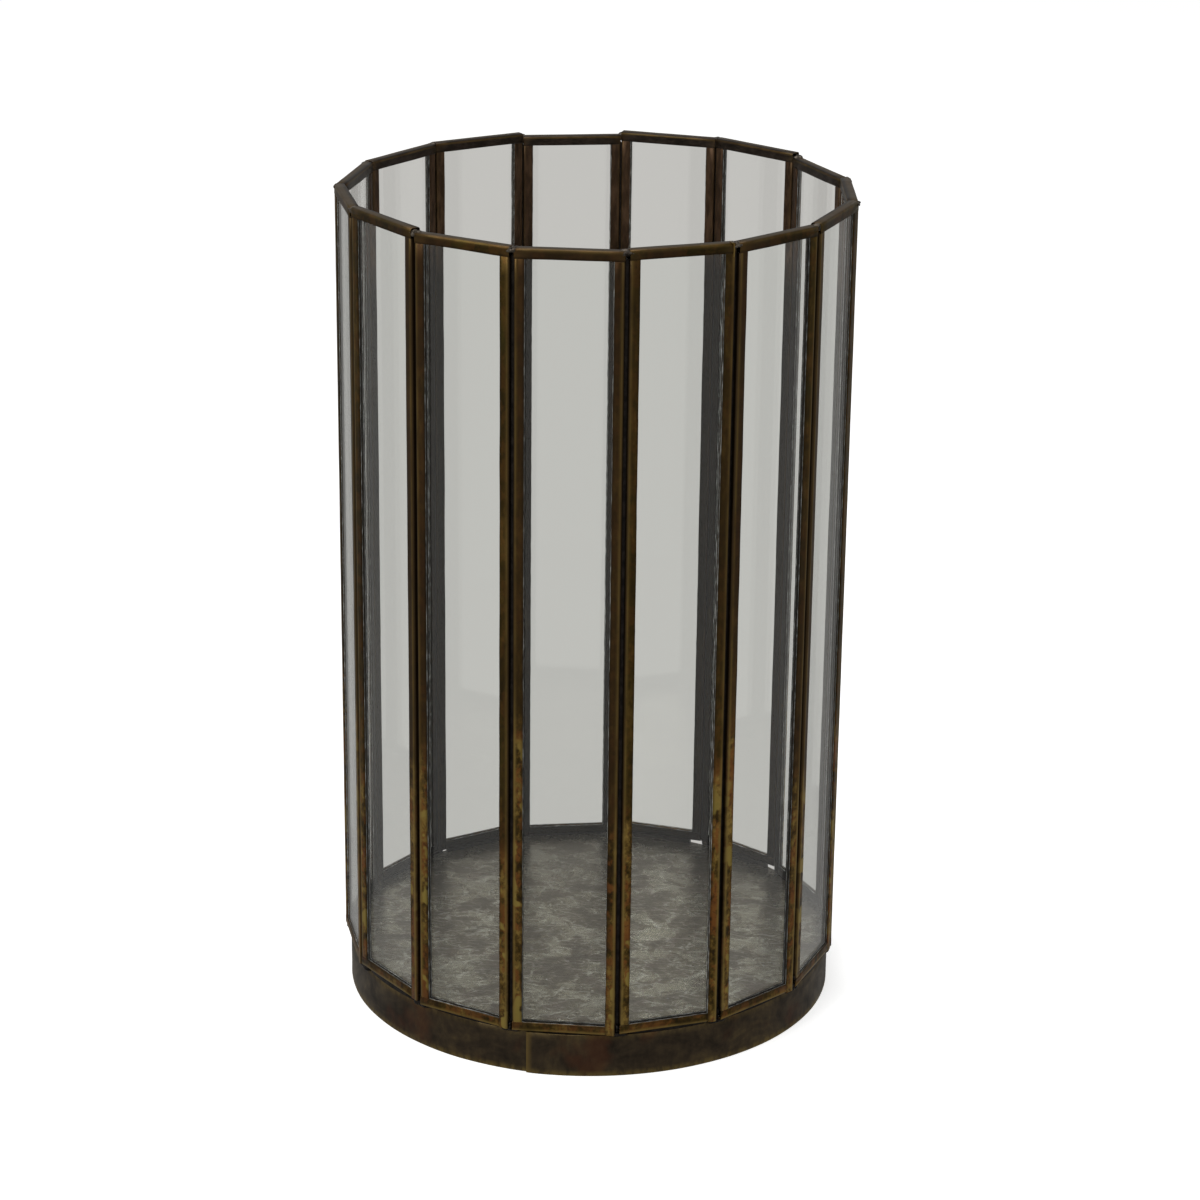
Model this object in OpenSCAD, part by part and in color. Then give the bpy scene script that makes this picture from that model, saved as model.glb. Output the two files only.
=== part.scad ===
// Open-topped glass lantern: a ring of tall framed panes standing on a round metal base.
// Millimetres. +Z is up, the origin is the centre of the base on the surface it stands on,
// and panel 1 faces -Y. Panels are numbered anticlockwise, seen from above.

/* [Body] */
// Number of framed panels in the ring
panel_count = 15; // [9:1:18]
// Radius to the outer corners of the ring
corner_r = 100; // [80:1:140]
// Height of one framed panel
panel_h = 308; // [150:1:420]
// Gap left between neighbouring panels along their inner edges
panel_gap = 0.1; // [0.05:0.05:0.4]

/* [Channel] */
// Thickness of the folded channel across its two flanges
channel_t = 4.2; // [4.2:0.1:5]
// Width of each flange, measured over the pane
flange_w = 3.8; // [3:0.1:6]
// Thickness of the brass sheet that the channel is folded from
channel_sheet = 0.5; // [0.4:0.1:0.5]
// Outside radius of the two folds
fold_r = 0.8; // [0.6:0.1:1]

/* [Glass] */
// Thickness of a pane
pane_t = 3; // [2:0.1:3]
// Free space between a pane's edge and the bottom of the channel
pane_clearance = 0.3; // [0.1:0.1:1]

/* [Base] */
// Height of the round band
band_h = 17.5; // [8:0.5:40]
// How far the band sits inside the flat faces of the panels
band_inset = 0.4; // [0.2:0.1:3]
// Thickness of the band's sheet
band_sheet = 0.7; // [0.5:0.1:0.8]
// Thickness of the floor plate
plate_t = 0.8; // [0.5:0.1:1.5]
// Direction of the band's visible lap edge, in degrees from +X
lap_angle = -97.3; // [-180:0.1:180]
// Stretch of the band, in degrees, along which its outer end climbs over its own start
lap_ramp = 50; // [50:1:80]

/* [Solder] */
// Thickness of the solder under the lowest panel
foot_joint = 0.4; // [0.2:0.1:1]
// Number of solder tacks that hold the floor plate to the band
plate_tack_count = 8; // [4:1:16]

/* [Hidden] */
$fn = 96;

// How much higher each panel was soldered than the lowest one, set by hand like the real ring
panel_lifts = [0, 0.6, 0.4, 0.9, 0.5, 0, 1.8, 1.5, 0, 1.2, 0.8, 0.5, 0.9, 1.5, 0.3];
// Panels whose bottom rail runs the full width instead of ending at the right stile
full_foot_rails = [5, 9, 14];

step_angle = 360 / panel_count;
half_angle = step_angle / 2;
flat_r = corner_r * cos(half_angle);
inner_r = flat_r - channel_t;
panel_w = 2 * inner_r * tan(half_angle) - panel_gap;
foot_z = band_h + foot_joint;

// A strip's end tongue slips between the flanges of the strip that it meets
tongue_w = channel_t - 2 * fold_r;
tongue_len = flange_w - channel_sheet;
tongue_root = 1;

pane_inset = channel_sheet + pane_clearance;

// Rounded to a tenth, so that the band's two arcs meet face to face
band_r = round(10 * (flat_r - band_inset)) / 10;
band_inner_r = band_r - band_sheet;
plate_fit = 0.05;
plate_r = band_inner_r - plate_fit;
// Along the ramp the band follows a circle that is larger by lap_rise and tangent to the first
lap_rise = 2.5;
lap_gap = 0.05;
lap_overlap = lap_ramp - acos(1 - (band_sheet + lap_gap) / lap_rise);

// Solder stands this far clear of the faces that it fills between
solder_clearance = 0.02;
seam_inner_d = fold_r;
seam_outer_d = 2.4;
seam_end = 3;
bead_r = 1.7;
bead_outer_d = channel_t - 0.5;
bead_drop = 1.5;
foot_side = 5;
foot_back = 0.3;
foot_r = band_r - 0.1;
foot_fn = 256;
tack_size = 2.2;
tack_sweep = 7;

function two_digits(i) = str(i < 10 ? "0" : "", i);
function pane_name(i) = str("pane_", two_digits(i));
function rails_name(i) = str("rails_", two_digits(i));
function stiles_name(i) = str("stiles_", two_digits(i));

function lift(i) = panel_lifts[(i - 1) % len(panel_lifts)];
function next_panel(i) = i % panel_count + 1;
function has_full_foot_rail(i) = len(search(i, full_foot_rails)) > 0;
function arc(center, r, from, to, parts = 4) = [
    for (k = [0:parts])
        let (a = from + (to - from) * k / parts)
        center + r * [cos(a), sin(a)]
];

// Half the gap between two neighbouring panels, and its place, at depth d out from the inner face
function v_half(d) = panel_gap / 2 * cos(half_angle) + d * sin(half_angle) - solder_clearance;
function v_y(d) = -panel_w / 2 * sin(half_angle) - (inner_r + d) * cos(half_angle);

// Moves its children from a panel's own frame (x across, y inwards, z up from its foot) into the ring
module in_panel(i) {
    rotate([0, 0, step_angle * (i - 1)])
        translate([0, -flat_r, foot_z + lift(i)])
            children();
}

// Turns its children to the corner between panel i and the next one, with -Y pointing outwards
module in_corner(i) {
    rotate([0, 0, step_angle * (i - 0.5)])
        children();
}

// U-section of the channel: its back lies on the x axis and its flanges rise along +y
module channel_section() {
    half = channel_t / 2;
    bend = half - fold_r;
    inner_fold = fold_r - channel_sheet;
    polygon(concat(
        [[-half, flange_w]],
        arc([-bend, fold_r], fold_r, 180, 270),
        arc([bend, fold_r], fold_r, 270, 360),
        [[half, flange_w], [half - channel_sheet, flange_w]],
        arc([bend, fold_r], inner_fold, 0, -90),
        arc([-bend, fold_r], inner_fold, 270, 180),
        [[-half + channel_sheet, flange_w]]
    ));
}

// The flat tongue left at a strip's end when its flanges are cut away, starting at z = 0
module tongue() {
    translate([-tongue_w / 2, 0, -tongue_root])
        cube([tongue_w, channel_sheet, tongue_root + tongue_len]);
}

// A channel strip along +z, with a tongue at its far end and, if asked, one at its near end
module strip(length, near_tongue, far_tongue) {
    linear_extrude(length)
        channel_section();
    if (far_tongue)
        translate([0, 0, length])
            tongue();
    if (near_tongue)
        mirror([0, 0, 1])
            tongue();
}

module pane(i) {
    color([0.78, 0.86, 0.84, 0.35])
        in_panel(i)
            translate([pane_inset - panel_w / 2, (channel_t - pane_t) / 2, pane_inset])
                cube([panel_w - 2 * pane_inset, pane_t, panel_h - 2 * pane_inset]);
}

// The top rail crosses both stiles. The bottom rail crosses the left stile and stops at the right one.
module rails(i) {
    full = has_full_foot_rail(i);
    foot_len = full ? panel_w : panel_w - flange_w;
    color("#6e5531")
        in_panel(i) {
            translate([-panel_w / 2, channel_t / 2, panel_h])
                rotate([0, 90, 0])
                    rotate([0, 0, -90])
                        strip(panel_w, false, false);
            translate([-panel_w / 2, channel_t / 2, 0])
                rotate([0, 90, 0])
                    rotate([0, 0, 90])
                        strip(foot_len, false, !full);
        }
}

// Both stiles stop under the top rail. The right one runs down to the foot of most panels.
module stiles(i) {
    right_foot = has_full_foot_rail(i) ? flange_w : 0;
    color("#5f4729")
        in_panel(i) {
            translate([-panel_w / 2, channel_t / 2, flange_w])
                rotate([0, 0, -90])
                    strip(panel_h - 2 * flange_w, true, true);
            translate([panel_w / 2, channel_t / 2, right_foot])
                rotate([0, 0, 90])
                    strip(panel_h - flange_w - right_foot, right_foot > 0, true);
        }
}

// A stretch of the band, bent anticlockwise from the +X axis
module band_arc(inner, sweep) {
    rotate_extrude(angle = sweep)
        translate([inner, 0])
            square([band_sheet, band_h]);
}

// Sheet strip bent into a hoop. Its outer end laps over its inner end.
module base_band() {
    color("#4a3a24")
        rotate([0, 0, lap_angle + lap_ramp]) {
            band_arc(band_inner_r, 360 - lap_ramp + lap_overlap);
            translate([-lap_rise, 0, 0])
                mirror([0, 1, 0])
                    band_arc(band_inner_r + lap_rise, lap_ramp);
        }
}

// Disc that closes the bottom of the lantern, level with the top of the band
module floor_plate() {
    color("#7c7a70")
        translate([0, 0, band_h - plate_t])
            cylinder(r = plate_r, h = plate_t);
}

// Wedge of solder between two panels, from depth d0 to depth d1
module v_fill(d0, d1, height) {
    linear_extrude(height)
        polygon([
            [-v_half(d0), v_y(d0)], [-v_half(d1), v_y(d1)],
            [v_half(d1), v_y(d1)], [v_half(d0), v_y(d0)]
        ]);
}

// One long fillet in each corner joins neighbouring panels from foot to rim
module solder_seams() {
    color("#3b352c")
        for (i = [1:panel_count]) {
            low = foot_z + max(lift(i), lift(next_panel(i)));
            high = foot_z + panel_h + min(lift(i), lift(next_panel(i)));
            in_corner(i)
                translate([0, 0, low])
                    v_fill(seam_inner_d, seam_outer_d, high - low - seam_end);
        }
}

// A domed bead closes the top of each corner, just above the end of the seam
module solder_rim() {
    color("#5b564d")
        for (i = [1:panel_count]) {
            high = foot_z + panel_h + min(lift(i), lift(next_panel(i)));
            in_corner(i)
                intersection() {
                    translate([0, 0, high - seam_end + solder_clearance])
                        v_fill(fold_r / 2, bead_outer_d, seam_end + bead_r);
                    translate([0, v_y((fold_r / 2 + bead_outer_d) / 2), high - bead_drop])
                        sphere(r = bead_r);
                }
        }
}

// A low bar of solder under each panel joins its bottom rail to the base
module solder_foot() {
    bar_w = panel_w - 2 * foot_side;
    color("#4b453a")
        for (i = [1:panel_count])
            rotate([0, 0, step_angle * (i - 1)])
                intersection() {
                    translate([-bar_w / 2, -flat_r, band_h])
                        cube([bar_w, channel_t - foot_back, foot_joint + lift(i)]);
                    cylinder(r = foot_r, h = 2 * foot_z, $fn = foot_fn);
                }
}

// Short fillets under the floor plate hold it to the inside of the band
module solder_plate() {
    color("#8a8880")
        for (k = [0:plate_tack_count - 1])
            rotate([0, 0, 360 / plate_tack_count * k])
                rotate_extrude(angle = tack_sweep)
                    translate([band_inner_r - solder_clearance, band_h - plate_t - solder_clearance])
                        polygon([[0, 0], [-tack_size, 0], [0, -tack_size]]);
}

base_band();
floor_plate();
for (i = [1:panel_count]) {
    pane(i);
    rails(i);
    stiles(i);
}
solder_seams();
solder_rim();
solder_foot();
solder_plate();
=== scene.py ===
import math
import random

import bmesh
import bpy
from mathutils import Matrix, Vector, noise


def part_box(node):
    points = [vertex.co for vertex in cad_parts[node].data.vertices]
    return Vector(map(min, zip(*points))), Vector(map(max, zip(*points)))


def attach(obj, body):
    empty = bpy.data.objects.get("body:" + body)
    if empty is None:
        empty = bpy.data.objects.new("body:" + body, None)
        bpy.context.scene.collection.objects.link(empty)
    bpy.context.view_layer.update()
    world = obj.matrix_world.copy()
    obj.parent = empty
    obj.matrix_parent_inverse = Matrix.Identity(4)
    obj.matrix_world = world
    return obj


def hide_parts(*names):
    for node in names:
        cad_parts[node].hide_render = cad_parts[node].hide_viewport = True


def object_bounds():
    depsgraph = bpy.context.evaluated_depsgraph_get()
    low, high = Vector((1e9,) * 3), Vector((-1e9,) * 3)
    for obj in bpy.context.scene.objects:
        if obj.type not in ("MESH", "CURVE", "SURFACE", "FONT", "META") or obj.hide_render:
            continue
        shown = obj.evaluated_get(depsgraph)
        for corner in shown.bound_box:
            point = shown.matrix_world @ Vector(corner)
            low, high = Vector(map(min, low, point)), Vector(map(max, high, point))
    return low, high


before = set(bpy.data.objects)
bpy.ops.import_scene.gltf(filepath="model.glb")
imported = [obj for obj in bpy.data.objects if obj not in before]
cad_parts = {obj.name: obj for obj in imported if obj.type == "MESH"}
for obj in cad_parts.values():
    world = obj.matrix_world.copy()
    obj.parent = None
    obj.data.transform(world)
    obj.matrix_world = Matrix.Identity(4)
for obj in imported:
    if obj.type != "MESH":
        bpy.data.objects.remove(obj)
cad_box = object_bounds()

# ---------------------------------------------------------------- sizes, in metres
MM = 0.001

# The channel that frames each pane: sheet folded to a U
FLANGE = 3.8 * MM
SHEET = 0.5 * MM
FOLD_R = 0.8 * MM
EDGE_BREAK = 0.1 * MM
# The band's sheet, and how its outer end climbs over its own start
BAND_SHEET = 0.7 * MM
LAP_ANGLE = math.radians(-97.3)
LAP_RAMP = math.radians(50)
LAP_RISE = 2.5 * MM
LAP_GAP = 0.05 * MM
# How far dried flux stands off the glass
RESIDUE_PROUD = 0.07 * MM
# How finely the strips, the hoop and the residue are divided
STRIP_SPACING = 7 * MM
HOOP_STEPS, HOOP_ROWS = 260, 7
RESIDUE_STEPS, FOOT_RESIDUE_STEPS = 90, 30
SMOOTH_BELOW = math.radians(45)

PANELS = sorted(int(name[5:]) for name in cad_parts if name.startswith("pane_"))
STEP = math.tau / len(PANELS)
rails_low, rails_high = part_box("rails_01")
PANEL_W = rails_high.x - rails_low.x
PANEL_H = rails_high.z - rails_low.z
CHANNEL_T = rails_high.y - rails_low.y
FLAT_R = -rails_low.y
band_low, band_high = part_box("base_band")
BAND_R = -band_low.x
BAND_H = band_high.z
PLATE_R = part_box("floor_plate")[1].x
pane_low, pane_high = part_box("pane_01")
PANE_T = pane_high.y - pane_low.y

# Corners, by the panel before them, where daylight shows under the frames, and the side that solder fills
OPEN_CORNERS = {6: -1, 7: -1, 8: -1}


def foot_of(i):
    """Height of panel i's lower edge."""
    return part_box(f"rails_{i:02d}")[0].z


def has_full_foot_rail(i):
    """True where the bottom rail crosses both stiles."""
    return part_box(f"stiles_{i:02d}")[0].z - foot_of(i) > FLANGE / 2


def panel_matrix(i):
    """From panel i's frame (x across, y inwards from its face, z up from its foot) to the row's."""
    return Matrix.Rotation(STEP * (i - 1), 4, "Z") @ Matrix.Translation((0, -FLAT_R, foot_of(i)))


def corner_matrix(i):
    """The corner between panel i and the next one: -Y points outwards, the origin is on the axis."""
    return Matrix.Rotation(STEP * (i - 0.5), 4, "Z")


def next_panel(i):
    return i % len(PANELS) + 1


# ---------------------------------------------------------------- shader building
class Shader:
    """A material's node tree, filled by short calls that return sockets."""

    def __init__(self, name):
        self.material = bpy.data.materials.new(name)
        self.material.use_nodes = True
        self.tree = self.material.node_tree
        self.tree.nodes.clear()

    def add(self, kind, inputs=None, **settings):
        node = self.tree.nodes.new("ShaderNode" + kind)
        for key, value in settings.items():
            setattr(node, key, value)
        for key, value in (inputs or {}).items():
            self.feed(node.inputs[key], value)
        return node

    def feed(self, socket, value):
        if isinstance(value, bpy.types.NodeSocket):
            self.tree.links.new(value, socket)
        else:
            socket.default_value = value

    def position(self, scale=(1, 1, 1)):
        """The point in the row's frame, squeezed by scale."""
        point = self.add("TexCoord").outputs["Object"]
        return self.add("Mapping", {"Vector": point, "Scale": scale}).outputs["Vector"]

    def noise(self, vector, scale, detail=3.0, roughness=0.55, distortion=0.0):
        inputs = {"Vector": vector, "Scale": scale, "Detail": detail,
                  "Roughness": roughness, "Distortion": distortion}
        return self.add("TexNoise", inputs).outputs["Fac"]

    def math(self, operation, a, b=0.0):
        node = self.add("Math", operation=operation)
        self.feed(node.inputs[0], a)
        self.feed(node.inputs[1], b)
        return node.outputs[0]

    def spread(self, value, low, high, out_low=0.0, out_high=1.0):
        """Maps low..high to out_low..out_high, clamped and eased."""
        inputs = {"Value": value, "From Min": low, "From Max": high,
                  "To Min": out_low, "To Max": out_high}
        return self.add("MapRange", inputs, interpolation_type="SMOOTHSTEP").outputs["Result"]

    def ramp(self, value, stops):
        node = self.add("ValToRGB", {"Fac": value})
        elements = node.color_ramp.elements
        while len(elements) < len(stops):
            elements.new(0.5)
        for element, (place, colour) in zip(elements, stops):
            element.position = place
            element.color = (*colour, 1)
        return node.outputs["Color"]

    def mix(self, factor, a, b):
        """From colour a to colour b."""
        node = self.add("Mix", data_type="RGBA")
        self.feed(node.inputs[0], factor)
        for socket, colour in ((node.inputs[6], a), (node.inputs[7], b)):
            self.feed(socket, colour if isinstance(colour, bpy.types.NodeSocket) else (*colour, 1))
        return node.outputs[2]

    def bump(self, height, strength, distance, normal=None):
        inputs = {"Height": height, "Strength": strength, "Distance": distance}
        if normal is not None:
            inputs["Normal"] = normal
        return self.add("Bump", inputs).outputs["Normal"]

    def zones(self):
        """The four zones painted on a folded piece: fold, lip, dirt and painted shade, and inside."""
        node = self.add("Attribute", attribute_name="zones")
        parts = self.add("SeparateColor", {"Color": node.outputs["Color"]})
        return parts.outputs[0], parts.outputs[1], parts.outputs[2], node.outputs["Alpha"]

    def heated(self):
        """How much the torch has coloured a strip: painted from 0, far from the foot, to 1."""
        return self.add("Attribute", attribute_name="heated").outputs["Fac"]

    def lowness(self, top, bottom):
        """0 above the height top and 1 below bottom, in metres."""
        z = self.add("SeparateXYZ", {"Vector": self.position()}).outputs["Z"]
        return self.spread(z, bottom, top, 1.0, 0.0)

    def bend(self, vector, scale, reach):
        """Pushes vector about by up to reach, in swirls."""
        push = self.add("TexNoise", {"Vector": vector, "Scale": scale, "Detail": 2.0}).outputs["Color"]
        centred = self.add("VectorMath", {0: push, 1: (0.5, 0.5, 0.5)}, operation="SUBTRACT").outputs[0]
        shift = self.add("VectorMath", {0: centred, "Scale": reach}, operation="SCALE").outputs[0]
        return self.add("VectorMath", {0: vector, 1: shift}, operation="ADD").outputs[0]

    def facing_up(self):
        """1 on faces that look up, 0 on level and upright ones."""
        normal = self.add("NewGeometry").outputs["Normal"]
        z = self.add("SeparateXYZ", {"Vector": normal}).outputs["Z"]
        return self.spread(z, 0.6, 0.95)

    def surface(self, inputs):
        """Ends the tree with a Principled shader and returns the material."""
        shader = self.add("BsdfPrincipled", inputs)
        output = self.add("OutputMaterial")
        self.tree.links.new(shader.outputs[0], output.inputs["Surface"])
        return self.material


# ---------------------------------------------------------------- materials
# The patina of the channel, from its darkest tone to its lightest, and the colours laid over it
CHANNEL_TONES = [
    (0.40, (0.042, 0.028, 0.009)), (0.50, (0.088, 0.055, 0.012)),
    (0.59, (0.200, 0.120, 0.030)), (0.74, (0.500, 0.325, 0.085)),
]
GOLD = (0.42, 0.285, 0.085)
BARE_BRASS = (0.52, 0.39, 0.10)
TORCH_ORANGE = (0.36, 0.138, 0.038)
OLIVE = (0.075, 0.070, 0.015)
RED_BROWN = (0.072, 0.038, 0.020)
PLUM = (0.052, 0.030, 0.020)
LIP_BROWN = (0.030, 0.019, 0.012)
TOP_LIGHT_BROWN = (0.118, 0.083, 0.047)
INNER_NEAR_BLACK = (0.008, 0.005, 0.0015)
BACK_DIRT_AND_SHADE = (0.085, 0.056, 0.028)

# The inner flanges keep their colour above the first height and turn near black below the second
INNER_DARK_TOP, INNER_DARK_FULL = 0.290, 0.270

# The band
BAND_TONES = [
    (0.36, (0.036, 0.027, 0.019)), (0.48, (0.068, 0.049, 0.032)),
    (0.56, (0.098, 0.070, 0.041)), (0.68, (0.165, 0.118, 0.056)),
]
COPPER_BLOOM = (0.130, 0.045, 0.022)
BAND_EDGE_GOLD = (0.30, 0.21, 0.065)
BAND_TIP_GOLD = (0.30, 0.20, 0.065)
BAND_INSIDE = (0.09, 0.08, 0.065)

# The floor plate, and each layer of its crystals: turn in radians, scale and slimness
PLATE_TONES = [
    (0.42, (0.105, 0.086, 0.062)), (0.49, (0.153, 0.131, 0.093)),
    (0.55, (0.205, 0.187, 0.134)), (0.63, (0.275, 0.256, 0.190)),
]
PLATE_ROSE = (0.140, 0.103, 0.082)
CRYSTAL_EDGE = (0.50, 0.495, 0.43)
PLATE_PAINTED_SHADE = (0.085, 0.075, 0.060)
CRYSTAL_LAYERS = ((0.3, 52, 2.6), (1.3, 75, 3.2), (2.3, 105, 2.8), (2.9, 150, 2.4))

FLUX_TONES = [(0.36, (0.12, 0.12, 0.11)), (0.52, (0.28, 0.285, 0.27)), (0.66, (0.66, 0.67, 0.64))]


def channel_brass(name, stretch, inner, cool, inner_cover, cool_gold):
    """Brown patinated brass, rubbed gold along its folds and dark brown in the corners, with dirt and
    painted shade.

    It is even and dark where it stayed cool, and mottled with gold, orange and plum where the torch
    heated it. Its cast goes from olive to red-brown. stretch draws its streaks out along the strip. cool
    is how light its cool parts are, and cool_gold how much gold shows on their folds. The inner flanges
    are blacker: inner is their colour near the rim, and inner_cover is how much it covers the fold there.
    """
    s = Shader(name)
    hot = s.heated()
    long_way, level = s.position(stretch), s.position((1, 1, 0.8))
    broad = s.noise(long_way, 70, 4)
    streaks = s.noise(long_way, 430, 5, 0.65)
    mottle = s.noise(level, 240, 5, 0.72)
    blots = s.noise(level, 600, 4, 0.65)
    even = s.math("ADD", s.math("MULTIPLY", broad, 0.5), s.math("MULTIPLY", streaks, 0.5))
    rough = s.math("ADD", s.math("MULTIPLY", broad, 0.3), s.math("MULTIPLY", mottle, 0.7))
    even = s.math("MULTIPLY", s.math("SUBTRACT", even, 0.5), s.spread(hot, 0, 1, 0.6, 0.3))
    rough = s.math("MULTIPLY", s.math("SUBTRACT", rough, 0.48), s.spread(hot, 0, 1, 0.25, 1.7))
    tone = s.math("ADD", s.math("ADD", even, rough), s.spread(hot, 0, 1, cool, 0.575))
    colour = s.ramp(tone, CHANNEL_TONES)
    burnt = s.spread(s.noise(level, 170, 4, 0.65), 0.46, 0.58)
    burnt = s.math("MULTIPLY", burnt, s.spread(hot, 0.1, 1.0, 0.15, 0.85))
    colour = s.mix(burnt, colour, TORCH_ORANGE)
    green = s.spread(s.noise(long_way, 130, 3), 0.58, 0.70, 0, 0.4)
    colour = s.mix(green, colour, OLIVE)
    cast = s.spread(s.noise(s.position((1, 1, 0.05)), 40, 1), 0.44, 0.58, 0, 0.6)
    colour = s.mix(s.math("MULTIPLY", cast, s.spread(hot, 0, 1, 1, 0.3)), colour, RED_BROWN)
    plum = s.math("MULTIPLY", s.spread(blots, 0.52, 0.62), s.spread(hot, 0, 1, 0.2, 0.5))
    colour = s.mix(plum, colour, PLUM)
    bare = s.spread(s.noise(level, 85, 3), 0.58, 0.62)
    bare = s.math("MULTIPLY", bare, s.spread(hot, 0.5, 1.0, 0, 0.85))
    colour = s.mix(bare, colour, BARE_BRASS)

    fold, lip, dirt_and_shade, inside = s.zones()
    rub = s.spread(s.noise(long_way, 220, 4), 0.32, 0.58, 0.40, 1.0)
    rub = s.math("MULTIPLY", fold, rub)
    rubbed = s.math("MULTIPLY", rub, s.spread(hot, 0.0, 0.8, cool_gold, 1.0))
    colour = s.mix(rubbed, colour, GOLD)
    colour = s.mix(s.math("MULTIPLY", lip, 0.5), colour, LIP_BROWN)
    # Faces that look up are painted lighter and greyer: painted light from above.
    colour = s.mix(s.math("MULTIPLY", s.facing_up(), 0.7), colour, TOP_LIGHT_BROWN)
    upper = s.mix(s.spread(streaks, 0.4, 0.62, 0, 0.8), inner, tuple(2.2 * c for c in inner))
    # Lower down, the inner flanges are darkened to near black.
    deep = s.lowness(INNER_DARK_TOP, INNER_DARK_FULL)
    dim = s.mix(deep, upper, INNER_NEAR_BLACK)
    cover = s.spread(deep, 0, 1, inner_cover, 0.99)
    cover = s.spread(fold, 0.2, 0.9, 0.96, cover)
    colour = s.mix(s.math("MULTIPLY", inside, cover), colour, dim)
    # The channels' backs, in the V between panels and under the foot rails, get dirt and painted shade.
    colour = s.mix(dirt_and_shade, colour, BACK_DIRT_AND_SHADE)

    shine = s.math("SUBTRACT", s.math("SUBTRACT", streaks, rubbed), s.math("MULTIPLY", hot, 0.15))
    darkened_inside = s.math("MULTIPLY", s.math("MULTIPLY", inside, deep), 0.9)
    calm = s.math("SUBTRACT", 1.0, darkened_inside)
    shine = s.math("ADD", shine, darkened_inside)
    dents = s.bump(s.noise(long_way, 160, 2), s.math("MULTIPLY", calm, 0.5), 0.5 * MM)
    relief = s.math("ADD", streaks, blots)
    return s.surface({
        "Base Color": colour,
        "Metallic": 1.0,
        "Roughness": s.spread(shine, -0.2, 0.6, 0.32, 0.48),
        "Coat Weight": 0.08,
        "Coat Roughness": 0.4,
        "Normal": s.bump(relief, s.math("MULTIPLY", calm, 0.4), 0.10 * MM, dents),
    })


def band_brass():
    """The base band: darker, cloudy patina with copper blooms and a rubbed lower edge."""
    s = Shader("band_brass")
    cloud = s.noise(s.position((1, 1, 1.6)), 48, 5, 0.6, 0.6)
    fine = s.noise(s.position((1, 1, 0.6)), 420, 4)
    tone = s.math("ADD", s.math("MULTIPLY", cloud, 0.75), s.math("MULTIPLY", fine, 0.25))
    colour = s.ramp(tone, BAND_TONES)
    bloom = s.spread(s.noise(s.position(), 40, 3), 0.53, 0.68, 0, 0.5)
    colour = s.mix(bloom, colour, COPPER_BLOOM)
    edge, tip, _, inside = s.zones()
    rubbed = s.math("MULTIPLY", edge, s.spread(fine, 0.35, 0.6, 0.35, 1.0))
    colour = s.mix(rubbed, colour, BAND_EDGE_GOLD)
    colour = s.mix(s.math("MULTIPLY", tip, 0.8), colour, BAND_TIP_GOLD)
    colour = s.mix(s.math("MULTIPLY", inside, 0.6), colour, BAND_INSIDE)
    return s.surface({
        "Base Color": colour,
        "Metallic": 0.9,
        "Roughness": s.spread(cloud, 0.3, 0.7, 0.50, 0.38),
        "Normal": s.bump(fine, 0.25, 0.10 * MM),
    })


def spangled_zinc():
    """Galvanised sheet: long crystals with bright broken edges over dull brown-grey, with painted shade
    darkening it towards the back.
    """
    s = Shader("plate_zinc")
    flat = s.position((1, 1, 0))
    bent = s.bend(flat, 130, 3 * MM)
    strokes, shades = [], []
    for angle, scale, slim in CRYSTAL_LAYERS:
        layer = {"Vector": bent, "Rotation": (0, 0, angle), "Scale": (1, slim, 1)}
        turned = s.add("Mapping", layer).outputs["Vector"]
        crystal = s.add("TexVoronoi", {"Vector": turned, "Scale": scale}, voronoi_dimensions="2D")
        edge = s.add("TexVoronoi", {"Vector": turned, "Scale": scale}, voronoi_dimensions="2D",
                     feature="DISTANCE_TO_EDGE").outputs["Distance"]
        broken = s.spread(s.noise(turned, 1.6 * scale, 3, 0.6), 0.48, 0.57)
        strokes.append(s.math("MULTIPLY", s.spread(edge, 0.02, 0.075, 1.0, 0.0), broken))
        parts = s.add("SeparateColor", {"Color": crystal.outputs["Color"]})
        shades.append(parts.outputs[2])
    stroke = s.math("MAXIMUM", s.math("MAXIMUM", *strokes[:2]), s.math("MAXIMUM", *strokes[2:]))
    shade = s.math("ADD", s.math("ADD", *shades[:2]), s.math("ADD", *shades[2:]))
    shade = s.math("SUBTRACT", s.math("MULTIPLY", shade, 0.5), 1.0)
    dull = s.noise(s.bend(flat, 40, 20 * MM), 55, 5, 0.65)
    fine = s.noise(flat, 900, 4, 0.7)

    tone = s.math("ADD", s.math("MULTIPLY", fine, 0.25), s.math("MULTIPLY", dull, 0.75))
    tone = s.math("ADD", tone, s.math("MULTIPLY", shade, 0.085))
    colour = s.ramp(tone, PLATE_TONES)
    rose = s.spread(s.noise(flat, 80, 3), 0.53, 0.68, 0, 0.45)
    colour = s.mix(rose, colour, PLATE_ROSE)
    bright = s.math("MULTIPLY", stroke, s.spread(dull, 0.38, 0.57, 0.10, 0.75))
    colour = s.mix(bright, colour, CRYSTAL_EDGE)
    # Painted shade and reflection: the plate darkens towards the back, where the rear frames shade it and
    # show in it.
    far = s.add("SeparateXYZ", {"Vector": flat}).outputs["Y"]
    colour = s.mix(s.spread(far, 0.0, 0.085, 0, 0.55), colour, PLATE_PAINTED_SHADE)
    return s.surface({
        "Base Color": colour,
        "Metallic": 0.85,
        "Roughness": s.spread(tone, 0.4, 0.64, 0.34, 0.20),
        "Normal": s.bump(s.math("ADD", fine, stroke), 0.3, 0.10 * MM),
    })


def clear_glass():
    """Float glass, very slightly green."""
    s = Shader("pane_glass")
    return s.surface({
        "Base Color": (0.975, 0.99, 0.98, 1),
        "Roughness": 0.0,
        "IOR": 1.5,
        "Transmission Weight": 1.0,
    })


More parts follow.
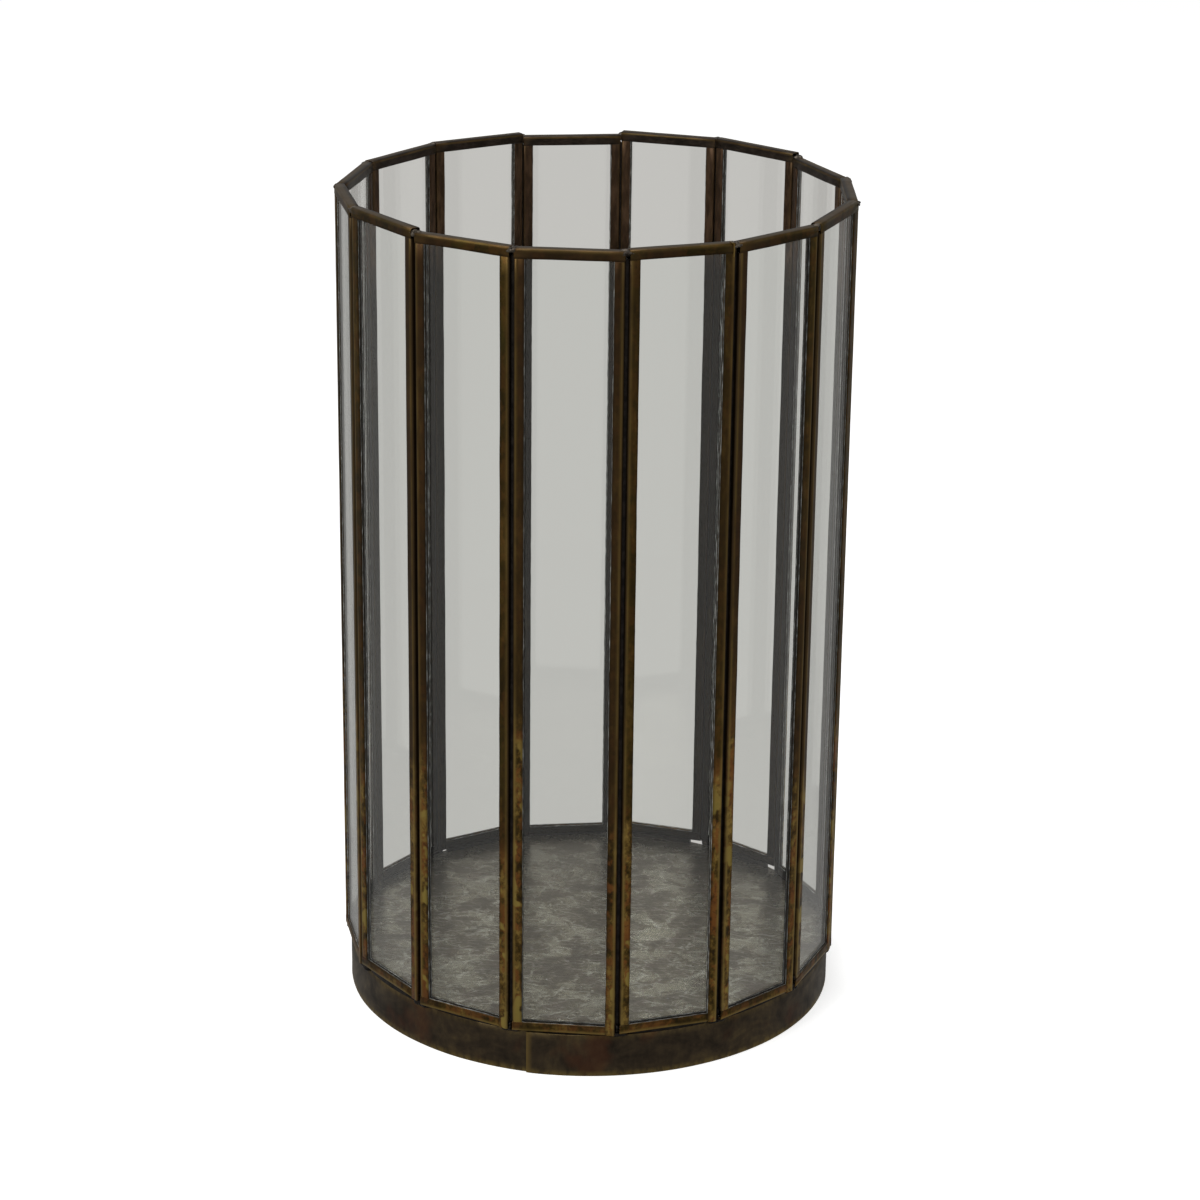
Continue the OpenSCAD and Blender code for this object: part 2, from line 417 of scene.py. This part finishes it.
def solder_tin(name, dark, light):
    """Soft solder, blackened by the patina bath and rubbed bright on its high spots."""
    s = Shader(name)
    cloud = s.noise(s.position(), 420, 4)
    fine = s.noise(s.position(), 1600, 3)
    halfway = tuple((a + b) / 2 for a, b in zip(dark, light))
    return s.surface({
        "Base Color": s.ramp(cloud, [(0.38, dark), (0.52, halfway), (0.66, light)]),
        "Metallic": 0.8,
        "Roughness": s.spread(fine, 0.3, 0.7, 0.3, 0.55),
        "Normal": s.bump(fine, 0.3, 0.1 * MM),
    })


def dried_flux():
    """Pale residue left on the glass along the channel's lips."""
    s = Shader("dried_flux")
    patch = s.noise(s.position(), 260, 4)
    return s.surface({"Base Color": s.ramp(patch, FLUX_TONES), "Roughness": 0.75})


# ---------------------------------------------------------------- mesh building
def add_piece(name, verts, faces, material, zones):
    """A piece of closed meshes with normals facing out and, where it has any, its zones and heat."""
    mesh = bpy.data.meshes.new(name)
    mesh.from_pydata([tuple(v) for v in verts], [], faces)
    bm = bmesh.new()
    bm.from_mesh(mesh)
    bmesh.ops.triangulate(bm, faces=[f for f in bm.faces if len(f.verts) > 4])
    bmesh.ops.recalc_face_normals(bm, faces=bm.faces)
    bm.to_mesh(mesh)
    bm.free()
    if zones:
        paint = mesh.color_attributes.new("zones", "FLOAT_COLOR", "POINT")
        paint.data.foreach_set("color", [channel for zone in zones for channel in zone[:4]])
        heated = mesh.attributes.new("heated", "FLOAT", "POINT")
        heated.data.foreach_set("value", [zone[4] for zone in zones])
    mesh.polygons.foreach_set("use_smooth", [True] * len(mesh.polygons))
    mesh.set_sharp_from_angle(angle=SMOOTH_BELOW)
    mesh.materials.append(material)
    piece = bpy.data.objects.new(name, mesh)
    bpy.context.collection.objects.link(piece)
    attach(piece, "root")
    return piece


class Build:
    """Gathers the points, faces and zones of several closed shapes into one piece."""

    def __init__(self):
        self.verts, self.faces, self.zones = [], [], []

    def loft(self, rings, zones=()):
        """Joins rings of points, each a loop of the same length, and caps both ends."""
        base, size = len(self.verts), len(rings[0])
        for ring in rings:
            self.verts.extend(ring)
        for ring_zones in zones:
            self.zones.extend(ring_zones)
        last = base + (len(rings) - 1) * size
        for here in range(base, last, size):
            there = here + size
            for k in range(size):
                nxt = (k + 1) % size
                self.faces.append((here + k, here + nxt, there + nxt, there + k))
        self.faces.append(tuple(base + k for k in reversed(range(size))))
        self.faces.append(tuple(last + k for k in range(size)))

    def blob(self, place, radii, seed, roughness, cuts=3):
        """A lumpy rounded bead. place is a matrix whose origin is the bead's middle."""
        bm = bmesh.new()
        bmesh.ops.create_icosphere(bm, subdivisions=cuts, radius=1)
        base = len(self.verts)
        for v in bm.verts:
            lump = 1 + roughness * noise.noise(v.co * 1.3 + Vector((seed * 7.31, seed * 3.17, 0)))
            point = Vector(c * r * lump for c, r in zip(v.co, radii))
            self.verts.append(place @ point)
        self.faces.extend(tuple(base + v.index for v in f.verts) for f in bm.faces)
        bm.free()

    def piece(self, name, material):
        return add_piece(name, self.verts, self.faces, material, self.zones)


# ---------------------------------------------------------------- folded channel
def middle_line():
    """The folded sheet's middle line from the outer lip to the inner one.

    Each point is (across the thickness, depth from the back, outward normal).
    """
    half, mid = CHANNEL_T / 2, FOLD_R - SHEET / 2
    flange = [FLANGE, FLANGE - 1.0 * MM, FOLD_R + 1.0 * MM, FOLD_R + 0.35 * MM]
    points = []
    for d in flange:
        points.append((-half + SHEET / 2, d, (-1, 0)))
    for side, start in ((-1, 180), (1, 270)):
        centre = Vector((side * (half - FOLD_R), FOLD_R))
        for k in range(4):
            a = math.radians(start + 30 * k)
            n = (math.cos(a), math.sin(a))
            points.append((centre.x + mid * n[0], centre.y + mid * n[1], n))
        if side < 0:
            points.append((0, SHEET / 2, (0, -1)))
    for d in reversed(flange):
        points.append((half - SHEET / 2, d, (1, 0)))
    return points


MIDDLE = middle_line()


def strip_rings(length, seed):
    """Rings of (along, across, depth) for one channel strip, a little uneven, and their painted zones.

    A ring runs along the sheet's outer face, round the inner flange's lip, back along the inner face and
    round the outer flange's lip.
    """
    count = max(3, round(length / STRIP_SPACING))
    stations = [0, EDGE_BREAK] + [length * k / count for k in range(1, count)]
    stations += [length - EDGE_BREAK, length]
    fold_width = 0.22 * MM
    rings, zones = [], []
    for s in stations:
        end = s in (0, length)
        thick = SHEET / 2 - (EDGE_BREAK if end else 0)
        lip_wave = 0.16 * MM * noise.noise((s / (16 * MM), seed * 5.3, 0.5))
        outer, inner, outer_zone, inner_zone = [], [], [], []
        for k, (a, d, n) in enumerate(MIDDLE):
            bump = 0.05 * MM * noise.noise((s / (11 * MM), seed * 2.7, k * 0.6))
            reach = max(0, (d - FOLD_R) / (FLANGE - FOLD_R))
            depth = d + lip_wave * reach
            at_lip = k in (0, len(MIDDLE) - 1)
            back = EDGE_BREAK if at_lip else 0
            corner = abs(abs(a) - CHANNEL_T / 2 + SHEET / 2)
            fold = math.exp(-((corner + abs(d - 0.9 * FOLD_R)) / (2 * fold_width)) ** 2)
            lip = math.exp(-(FLANGE - d) / fold_width)
            # Faces that look back into the V, and the sheet's inner faces, are marked for dirt and painted
            # shade.
            on_back = min(1.0, max(0.0, (-n[1] - 0.2) / 0.6)) * (0.8 if a else 1.0)
            side = 1.0 if a > 0 else 0.0
            outer.append((s, a + n[0] * (thick + bump), depth - back + n[1] * (thick + bump)))
            inner.append((s, a - n[0] * (thick - bump), depth - back - n[1] * (thick - bump)))
            outer_zone.append((fold, lip, on_back, side))
            inner_zone.append((0, lip, 0.8, side))
        tips = []
        for k in (len(MIDDLE) - 1, 0):
            a, d, n = MIDDLE[k]
            tip = thick - EDGE_BREAK * (0.2 if end else 1)
            for sign in ((1, -1) if k else (-1, 1)):
                tips.append((s, a + sign * n[0] * tip, d + lip_wave))
        rings.append(outer + tips[:2] + inner[::-1] + tips[2:])
        side_end = [(0, 1, 0, outer_zone[-1][3])] * 2
        side_start = [(0, 1, 0, outer_zone[0][3])] * 2
        zones.append(outer_zone + side_end + inner_zone[::-1] + side_start)
    return rings, zones


def stile_heat(seed):
    """A stile's heat by the height above its foot: the torch's reach differs from stile to stile. A steady
    part on top makes the strip lighter and more mottled towards its foot, darker towards its top.
    """
    reach = random.Random(seed).uniform(70, 125) * MM

    def heat(s):
        near = min(1.0, max(0.0, (reach + 8 * MM - s) / (16 * MM)))
        return 0.30 * (1 - s / PANEL_H) + 0.70 * near

    return heat


def add_strip(build, matrix, length, seed, place, back_dirt_and_shade, heat, bright_ends=0.0):
    """Sweeps one strip into build.

    place turns (along, across, depth) into the panel's own frame, and heat gives the paint's heat by the
    distance along. bright_ends rubs the strip's ends to gold.
    """
    rings, zones = strip_rings(length, seed)
    placed = [[matrix @ Vector(place(s, a, d)) for s, a, d in ring] for ring in rings]
    painted = []
    for j, ring in enumerate(zones):
        at_end = 1.0 if j in (0, 1, len(zones) - 2, len(zones) - 1) else 0.0
        warmth = heat(rings[j][0][0])
        painted.append([
            (max(fold, bright_ends * at_end * (1 - back)), lip, back * back_dirt_and_shade, side, warmth)
            for fold, lip, back, side in ring
        ])
    build.loft(placed, painted)


def add_rails(i, material):
    """Top and bottom rails of panel i. The bottom one stops at the right stile on most panels."""
    build, matrix = Build(), panel_matrix(i)
    left, middle = -PANEL_W / 2, CHANNEL_T / 2
    foot_length = PANEL_W if has_full_foot_rail(i) else PANEL_W - FLANGE
    # The top rail is painted with no heat and the foot rail with some, so the rim comes out darker than the
    # foot.
    add_strip(build, matrix, PANEL_W, i * 4, lambda s, a, d: (left + s, middle + a, PANEL_H - d),
              back_dirt_and_shade=0.0, heat=lambda s: 0.0, bright_ends=0.6)
    add_strip(build, matrix, foot_length, i * 4 + 1, lambda s, a, d: (left + s, middle + a, d),
              back_dirt_and_shade=0.3, heat=lambda s: 0.55)
    piece = build.piece(f"rail_channels_{i:02d}", material)
    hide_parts(f"rails_{i:02d}")


def add_stiles(i, material):
    """Left and right stiles of panel i, under the top rail."""
    build, matrix = Build(), panel_matrix(i)
    half, middle = PANEL_W / 2, CHANNEL_T / 2
    right_foot = FLANGE if has_full_foot_rail(i) else 0
    add_strip(build, matrix, PANEL_H - 2 * FLANGE, i * 4 + 2,
              lambda s, a, d: (-half + d, middle + a, FLANGE + s),
              back_dirt_and_shade=1.0, heat=stile_heat(i * 2))
    add_strip(build, matrix, PANEL_H - FLANGE - right_foot, i * 4 + 3,
              lambda s, a, d: (half - d, middle + a, right_foot + s),
              back_dirt_and_shade=1.0, heat=stile_heat(i * 2 + 1))
    piece = build.piece(f"stile_channels_{i:02d}", material)
    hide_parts(f"stiles_{i:02d}")


# ---------------------------------------------------------------- base band
def band_point(turn, offset):
    """A point at offset outwards from the band's outer face. turn is clockwise from the ramp's start."""
    start = LAP_ANGLE + LAP_RAMP
    if turn >= 0:
        radius = BAND_R + LAP_RISE + offset
        centre = Vector((math.cos(start), math.sin(start))) * -LAP_RISE
    else:
        radius = BAND_R + offset
        centre = Vector((0, 0))
    angle = start - turn
    return centre + radius * Vector((math.cos(angle), math.sin(angle)))


def add_band(material):
    """One strip of sheet bent into a hoop. It starts under the lap and ends at the lap's visible edge."""
    overlap = LAP_RAMP - math.acos(1 - (BAND_SHEET + LAP_GAP) / LAP_RISE)
    first = -(math.tau - LAP_RAMP + overlap)
    heights = [EDGE_BREAK + (BAND_H - 2 * EDGE_BREAK) * k / HOOP_ROWS for k in range(HOOP_ROWS + 1)]
    rings, zones = [], []
    for j in range(HOOP_STEPS + 1):
        turn = first + (LAP_RAMP - first) * j / HOOP_STEPS
        trim = EDGE_BREAK if j in (0, HOOP_STEPS) else 0
        ring, zone = [], []
        loop = [(-trim, z) for z in heights]
        loop += [(-trim - EDGE_BREAK, BAND_H - trim), (-BAND_SHEET + trim + EDGE_BREAK, BAND_H - trim)]
        loop += [(-BAND_SHEET + trim, z) for z in reversed(heights)]
        loop += [(-BAND_SHEET + trim + EDGE_BREAK, trim), (-trim - EDGE_BREAK, trim)]
        for depth, z in loop:
            dent = 0.10 * MM * noise.noise((turn * 5.1, z / (9 * MM), 3.7))
            p = band_point(turn, depth + dent - 0.05 * MM)
            ring.append(Vector((p.x, p.y, z)))
            low_edge = math.exp(-z / (0.9 * MM))
            high_edge = 0.35 * math.exp(-(BAND_H - z) / (0.7 * MM))
            tip = math.exp(-(LAP_RAMP - turn) * BAND_R / (0.7 * MM))
            inside = 1.0 if depth < -BAND_SHEET / 2 else 0.0
            zone.append((max(low_edge, high_edge), tip, 0, inside, 0))
        rings.append(ring)
        zones.append(zone)
    build = Build()
    build.loft(rings, zones)
    piece = build.piece("band_hoop", material)
    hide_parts("base_band")


# ---------------------------------------------------------------- solder and residue
def add_rim_beads(material):
    """Lumps of solder that bridge neighbouring rails across the top of each corner."""
    build, rng = Build(), random.Random(15)
    for i in PANELS:
        here_top, there_top = foot_of(i), foot_of(next_panel(i))
        top = PANEL_H + min(here_top, there_top)
        step = abs(here_top - there_top)
        radius = (FLAT_R - CHANNEL_T * 0.42) / math.cos(STEP / 2)
        here = corner_matrix(i) @ Matrix.Translation((0, -radius, top - 0.9 * MM))
        size = rng.uniform(0.9, 1.2)
        build.blob(here, (2.0 * MM * size, 1.9 * MM, 1.0 * MM * size + 0.4 * step), i, 0.5)
        for _ in range(5):
            aside = rng.uniform(-2.0, 2.0) * MM
            back = rng.uniform(-1.5, 1.5) * MM
            spot = here @ Matrix.Translation((aside, back, rng.uniform(0.1, 0.7) * MM))
            build.blob(spot, (rng.uniform(0.5, 1.0) * MM, 0.7 * MM, 0.45 * MM), i + 40, 0.6, 2)
    piece = build.piece("rim_beads", material)
    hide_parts("solder_rim")


def add_foot_drips(material):
    """Small drips of solder where the stiles meet the band. Three corners at the back stay half open."""
    build, rng = Build(), random.Random(7)
    radius = (FLAT_R - CHANNEL_T * 0.5) / math.cos(STEP / 2)
    for i in PANELS:
        low = max(foot_of(i), foot_of(next_panel(i)))
        band_gap = low - BAND_H
        for k in range(3):
            back = rng.uniform(-1.4, 1.4) * MM
            up = rng.uniform(0.8, 5.0) * MM
            here = corner_matrix(i) @ Matrix.Translation((0, -radius + back, low + up))
            build.blob(here, (0.55 * MM, 0.8 * MM, rng.uniform(0.6, 1.2) * MM), i * 3 + k, 0.5, 2)
        middle = BAND_H + band_gap / 2
        for side in (OPEN_CORNERS[i],) if i in OPEN_CORNERS else (-1, 0, 1):
            here = corner_matrix(i) @ Matrix.Translation((side * 1.9 * MM, -radius, middle))
            build.blob(here, (2.3 * MM, 1.5 * MM, band_gap * 0.7 + 0.2 * MM), i * 5 + side, 0.2, 2)
    piece = build.piece("foot_drips", material)


def add_residue(i, material):
    """Thin ragged beads of dried flux on both faces of pane i, beside the stiles and the foot rail."""
    build, matrix = Build(), panel_matrix(i)
    glass = (CHANNEL_T - PANE_T) / 2
    reach = PANEL_W / 2 - FLANGE
    length = PANEL_H - 2 * FLANGE
    for face, (skin, proud) in enumerate(((glass, -RESIDUE_PROUD), (CHANNEL_T - glass, RESIDUE_PROUD))):
        for side in (-1, 1):
            seed = i * 4 + face * 2 + side
            rings = []
            for k in range(RESIDUE_STEPS + 1):
                s = FLANGE + length * k / RESIDUE_STEPS
                ragged = noise.noise((s / (5 * MM), seed * 3.1, 1))
                ragged += 0.6 * noise.noise((s / (1.7 * MM), seed, 2))
                width = max(0.06, 0.17 + 0.13 * ragged) * MM
                inner, tip = side * (reach + 0.12 * MM), side * (reach - width)
                crest = side * (reach - width * 0.4)
                section = ((inner, skin, s), (tip, skin, s), (crest, skin + proud, s))
                rings.append([matrix @ Vector(p) for p in section])
            build.loft(rings)
        rings = []
        for k in range(FOOT_RESIDUE_STEPS + 1):
            x = -reach + 2 * reach * k / FOOT_RESIDUE_STEPS
            ragged = noise.noise((x / (4 * MM), i * 2.3 + face, 5))
            ragged += 0.8 * noise.noise((x / (1.3 * MM), i, 6))
            height = max(0.04, 0.05 + 0.28 * ragged) * MM
            section = (
                (x, skin, FLANGE - 0.12 * MM), (x, skin, FLANGE + height),
                (x, skin + proud, FLANGE + height * 0.4),
            )
            rings.append([matrix @ Vector(p) for p in section])
        build.loft(rings)
    piece = build.piece(f"flux_lines_{i:02d}", material)


def add_crumbs(material):
    """Specks of dust and flux that have fallen on the floor plate."""
    build, rng = Build(), random.Random(31)
    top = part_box("floor_plate")[1].z
    for k in range(46):
        radius, angle = PLATE_R * 0.92 * math.sqrt(rng.random()), rng.uniform(0, math.tau)
        size = rng.uniform(0.12, 0.34) * MM
        here = Matrix.Translation((radius * math.cos(angle), radius * math.sin(angle), top + size * 0.35))
        build.blob(here, (size * rng.uniform(0.8, 1.8), size, size * 0.5), k, 0.5, 1)
    piece = build.piece("plate_crumbs", material)


def add_end_tab(i, material):
    """The right end of panel i's top rail, cut long and folded down over the stile."""
    build, matrix = Build(), panel_matrix(i)
    right, thick = PANEL_W / 2, 0.35 * MM
    profile = [(-0.2, 0.30), (0.5, 0.22), (0.85, -0.4), (0.9, -2.4), (0.85, -5.0)]  # outwards, up, in mm
    rings = []
    for k, (out, up) in enumerate(profile):
        flare = 0.15 * MM * noise.noise((k * 0.7, i, 0.3))
        near, far = -0.28 * MM + flare, CHANNEL_T * 0.55
        x, z = right - 1.6 * MM + out * MM, PANEL_H + up * MM
        low = z - thick if k < 2 else z
        inner = x if k < 2 else x - thick
        rings.append([matrix @ Vector(p) for p in (
            (x, near, z), (x, far, z), (inner, far, low), (inner, near, low))])
    build.loft(rings, [[(0.9, 0, 0, 0, 0.9)] * 4] * len(rings))
    piece = build.piece(f"end_tab_{i:02d}", material)


def finish_node(name, material):
    """Gives a CAD node that stays visible its material."""
    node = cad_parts[name]
    for slot in node.material_slots:
        slot.material = material


# ---------------------------------------------------------------- building it all
stile_brass = channel_brass("stile_brass", (1, 1, 0.25), (0.050, 0.029, 0.017), 0.475, 0.85, 0.38)
rail_brass = channel_brass("rail_brass", (0.45, 0.45, 1), (0.024, 0.018, 0.014), 0.41, 0.40, 0.24)
dark_solder = solder_tin("dark_solder", (0.014, 0.011, 0.010), (0.040, 0.032, 0.027))
bright_solder = solder_tin("bright_solder", (0.030, 0.022, 0.016), (0.200, 0.170, 0.135))
flux = dried_flux()

for i in PANELS:
    add_rails(i, rail_brass)
    add_stiles(i, stile_brass)
    add_residue(i, flux)
add_end_tab(2, rail_brass)
add_band(band_brass())
add_rim_beads(bright_solder)
add_foot_drips(dark_solder)
add_crumbs(flux)

glass = clear_glass()
for i in PANELS:
    finish_node(f"pane_{i:02d}", glass)
    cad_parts[f"pane_{i:02d}"].visible_shadow = False
finish_node("floor_plate", spangled_zinc())
for name in ("solder_seams", "solder_foot", "solder_plate"):
    finish_node(name, dark_solder)


# ---------------------------------------------------------------- stage, light and camera
WHITE = (1, 1, 1, 1)
FLOOR_WHITE = (0.90, 0.90, 0.90, 1)
THROUGH_GLASS = (0.555, 0.540, 0.520, 1)  # what the floor and the world show through the panes
FLOOR_MIRRORED = (0.27, 0.27, 0.26, 1)  # what the metal reflects of the floor
STUDIO_GREY = (0.36, 0.362, 0.355, 1)  # what lights the object


def add_floor():
    """A plain pale floor: white to the camera, grey through the glass and dimmer in reflections."""
    s = Shader("stage_floor")
    diffuse = s.add("BsdfDiffuse", {"Color": FLOOR_WHITE}).outputs[0]
    lift = s.add("Emission", {"Color": WHITE, "Strength": 0.60}).outputs[0]
    white = s.add("AddShader", {0: diffuse, 1: lift}).outputs[0]
    through = s.add("Emission", {"Color": THROUGH_GLASS}).outputs[0]
    mirrored = s.add("Emission", {"Color": FLOOR_MIRRORED}).outputs[0]
    path = s.add("LightPath").outputs
    grey = s.add("MixShader", {0: path["Is Transmission Ray"], 1: mirrored, 2: through}).outputs[0]
    both = s.add("MixShader", {0: path["Is Camera Ray"], 1: grey, 2: white})
    output = s.add("OutputMaterial")
    s.tree.links.new(both.outputs[0], output.inputs["Surface"])
    bpy.ops.mesh.primitive_plane_add(size=30)
    floor = bpy.context.object
    floor.name = "stage_floor"
    floor.data.materials.append(s.material)


def add_softbox(name, place, size, watts):
    """A square area light aimed at the middle of the object."""
    light = bpy.data.lights.new(name, "AREA")
    light.shape = "SQUARE"
    light.size = size
    light.energy = watts
    lamp = bpy.data.objects.new(name, light)
    lamp.location = place
    aim = Vector((0, 0, cad_box[1].z / 2)) - lamp.location
    lamp.rotation_euler = aim.to_track_quat("-Z", "Y").to_euler()
    bpy.context.collection.objects.link(lamp)


def add_world():
    """Soft grey light from all round, which looks white behind the object and grey through the glass."""
    world = bpy.data.worlds.new("studio")
    world.use_nodes = True
    tree = world.node_tree
    seen = tree.nodes["Background"]
    seen.inputs["Color"].default_value = STUDIO_GREY
    for ray, colour in (("Is Transmission Ray", THROUGH_GLASS), ("Is Camera Ray", WHITE)):
        shade = tree.nodes.new("ShaderNodeBackground")
        shade.inputs["Color"].default_value = colour
        choice = tree.nodes.new("ShaderNodeMixShader")
        path = tree.nodes.new("ShaderNodeLightPath")
        tree.links.new(path.outputs[ray], choice.inputs[0])
        tree.links.new(seen.outputs[0], choice.inputs[1])
        tree.links.new(shade.outputs[0], choice.inputs[2])
        seen = choice
    tree.links.new(seen.outputs[0], tree.nodes["World Output"].inputs["Surface"])
    bpy.context.scene.world = world


def add_camera():
    """Stands in front, a little to the right and above, and looks down at the middle of the body."""
    azimuth, elevation, roll = math.radians(5.5), math.radians(19.85), math.radians(0.66)
    distance, aim_height, aim_right = 1.3476, 0.1597, 0.0028
    back = Vector((
        math.sin(azimuth) * math.cos(elevation),
        -math.cos(azimuth) * math.cos(elevation),
        math.sin(elevation),
    ))
    right = Vector((math.cos(azimuth), math.sin(azimuth), 0))
    data = bpy.data.cameras.new("camera")
    data.sensor_width = 36
    data.lens = 102.06
    camera = bpy.data.objects.new("camera", data)
    camera.location = right * aim_right + Vector((0, 0, aim_height)) + back * distance
    turn = back.to_track_quat("Z", "Y").to_matrix().to_4x4() @ Matrix.Rotation(roll, 4, "Z")
    camera.rotation_euler = turn.to_euler()
    bpy.context.collection.objects.link(camera)
    bpy.context.scene.camera = camera


add_floor()
add_world()
add_softbox("top_light", (-0.3, -0.2, 1.9), size=1.6, watts=17)
add_softbox("key_light", (-1.1, -1.3, 1.3), size=0.9, watts=9)
add_camera()
bpy.context.scene.view_settings.view_transform = "Standard"
